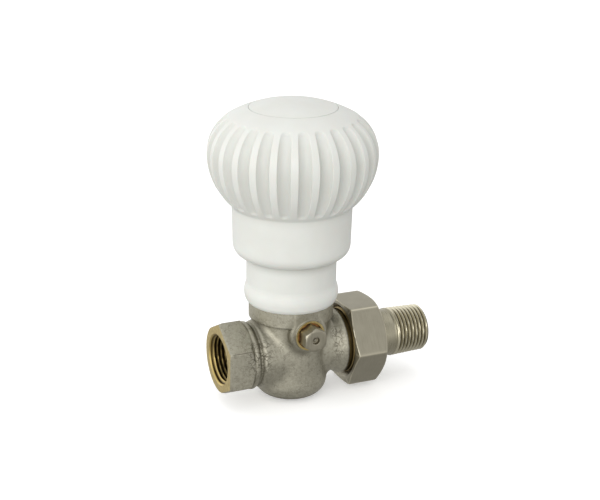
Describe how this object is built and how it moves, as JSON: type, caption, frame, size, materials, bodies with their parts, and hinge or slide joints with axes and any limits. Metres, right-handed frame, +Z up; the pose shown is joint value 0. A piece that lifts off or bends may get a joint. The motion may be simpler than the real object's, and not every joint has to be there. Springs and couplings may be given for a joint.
{
  "type": "manual radiator valve",
  "caption": "Straight manual radiator valve: forged body with a threaded inlet and side plug, union nut with a threaded tail, and a fluted white handwheel on a rising spindle.",
  "frame": {"origin": "centre of the inlet mouth, on the pipe axis", "axes": "+X along the pipe from the inlet to the tail, +Z up the stem to the handwheel, side plug towards -Y"},
  "size_m": [0.0768, 0.0554, 0.1011],
  "materials": {
    "cast_nickel": "nickel plated, blasted forging",
    "plug_nickel": "nickel plated, satin",
    "turned_nickel": "nickel plated, turned satin",
    "plain_brass": "turned brass",
    "steel": "plain steel",
    "black_rubber": "black sealing rubber",
    "fibre": "red-brown sealing fibre",
    "packing": "white packing",
    "white_plastic": "satin white moulding"
  },
  "bodies": {
    "valve_body": {"valve_body": "cast_nickel", "bonnet": "plain_brass", "bonnet_seal_ring": "black_rubber", "gland_screw": "plain_brass", "gland_packing": "packing", "collar_sleeve": "white_plastic", "side_plug": "plug_nickel", "side_plug_seal": "fibre", "union_gasket": "fibre"},
    "valve_disc": {"valve_disc": "plain_brass", "swivel_clip": "steel", "disc_seal": "black_rubber", "disc_screw": "plain_brass"},
    "handwheel": {"handwheel": "white_plastic", "handwheel_cap": "white_plastic", "handwheel_screw": "steel", "handwheel_washer": "steel", "spindle": "plain_brass", "spindle_seal_ring_lower": "black_rubber", "spindle_seal_ring_upper": "black_rubber"},
    "tailpiece": {"tailpiece": "turned_nickel"},
    "union_nut": {"union_nut": "turned_nickel"}
  },
  "joints": [
    {"name": "disc_lift", "type": "slide", "parent": "valve_body", "child": "valve_disc", "axis": [0, 0, 1], "range_m": [0, 0.00376]},
    {"name": "handwheel_turn", "type": "hinge", "parent": "valve_disc", "child": "handwheel", "pos_m": [0.026, 0, 0.068], "axis": [0, 0, 1], "range_deg": [0, 900]},
    {"name": "tail_slide", "type": "slide", "parent": "valve_body", "child": "tailpiece", "axis": [1, 0, 0], "range_m": [0, 0.00727]},
    {"name": "union_nut_turn", "type": "hinge", "parent": "tailpiece", "child": "union_nut", "pos_m": [0.0503, 0, 0], "axis": [1, 0, 0], "range_deg": [0, 1440]}
  ],
  "couplings": [
    {"joint": "disc_lift", "follows": "handwheel_turn", "m_per_rad": 0.00023873},
    {"joint": "tail_slide", "follows": "union_nut_turn", "m_per_rad": 0.00028871}
  ]
}
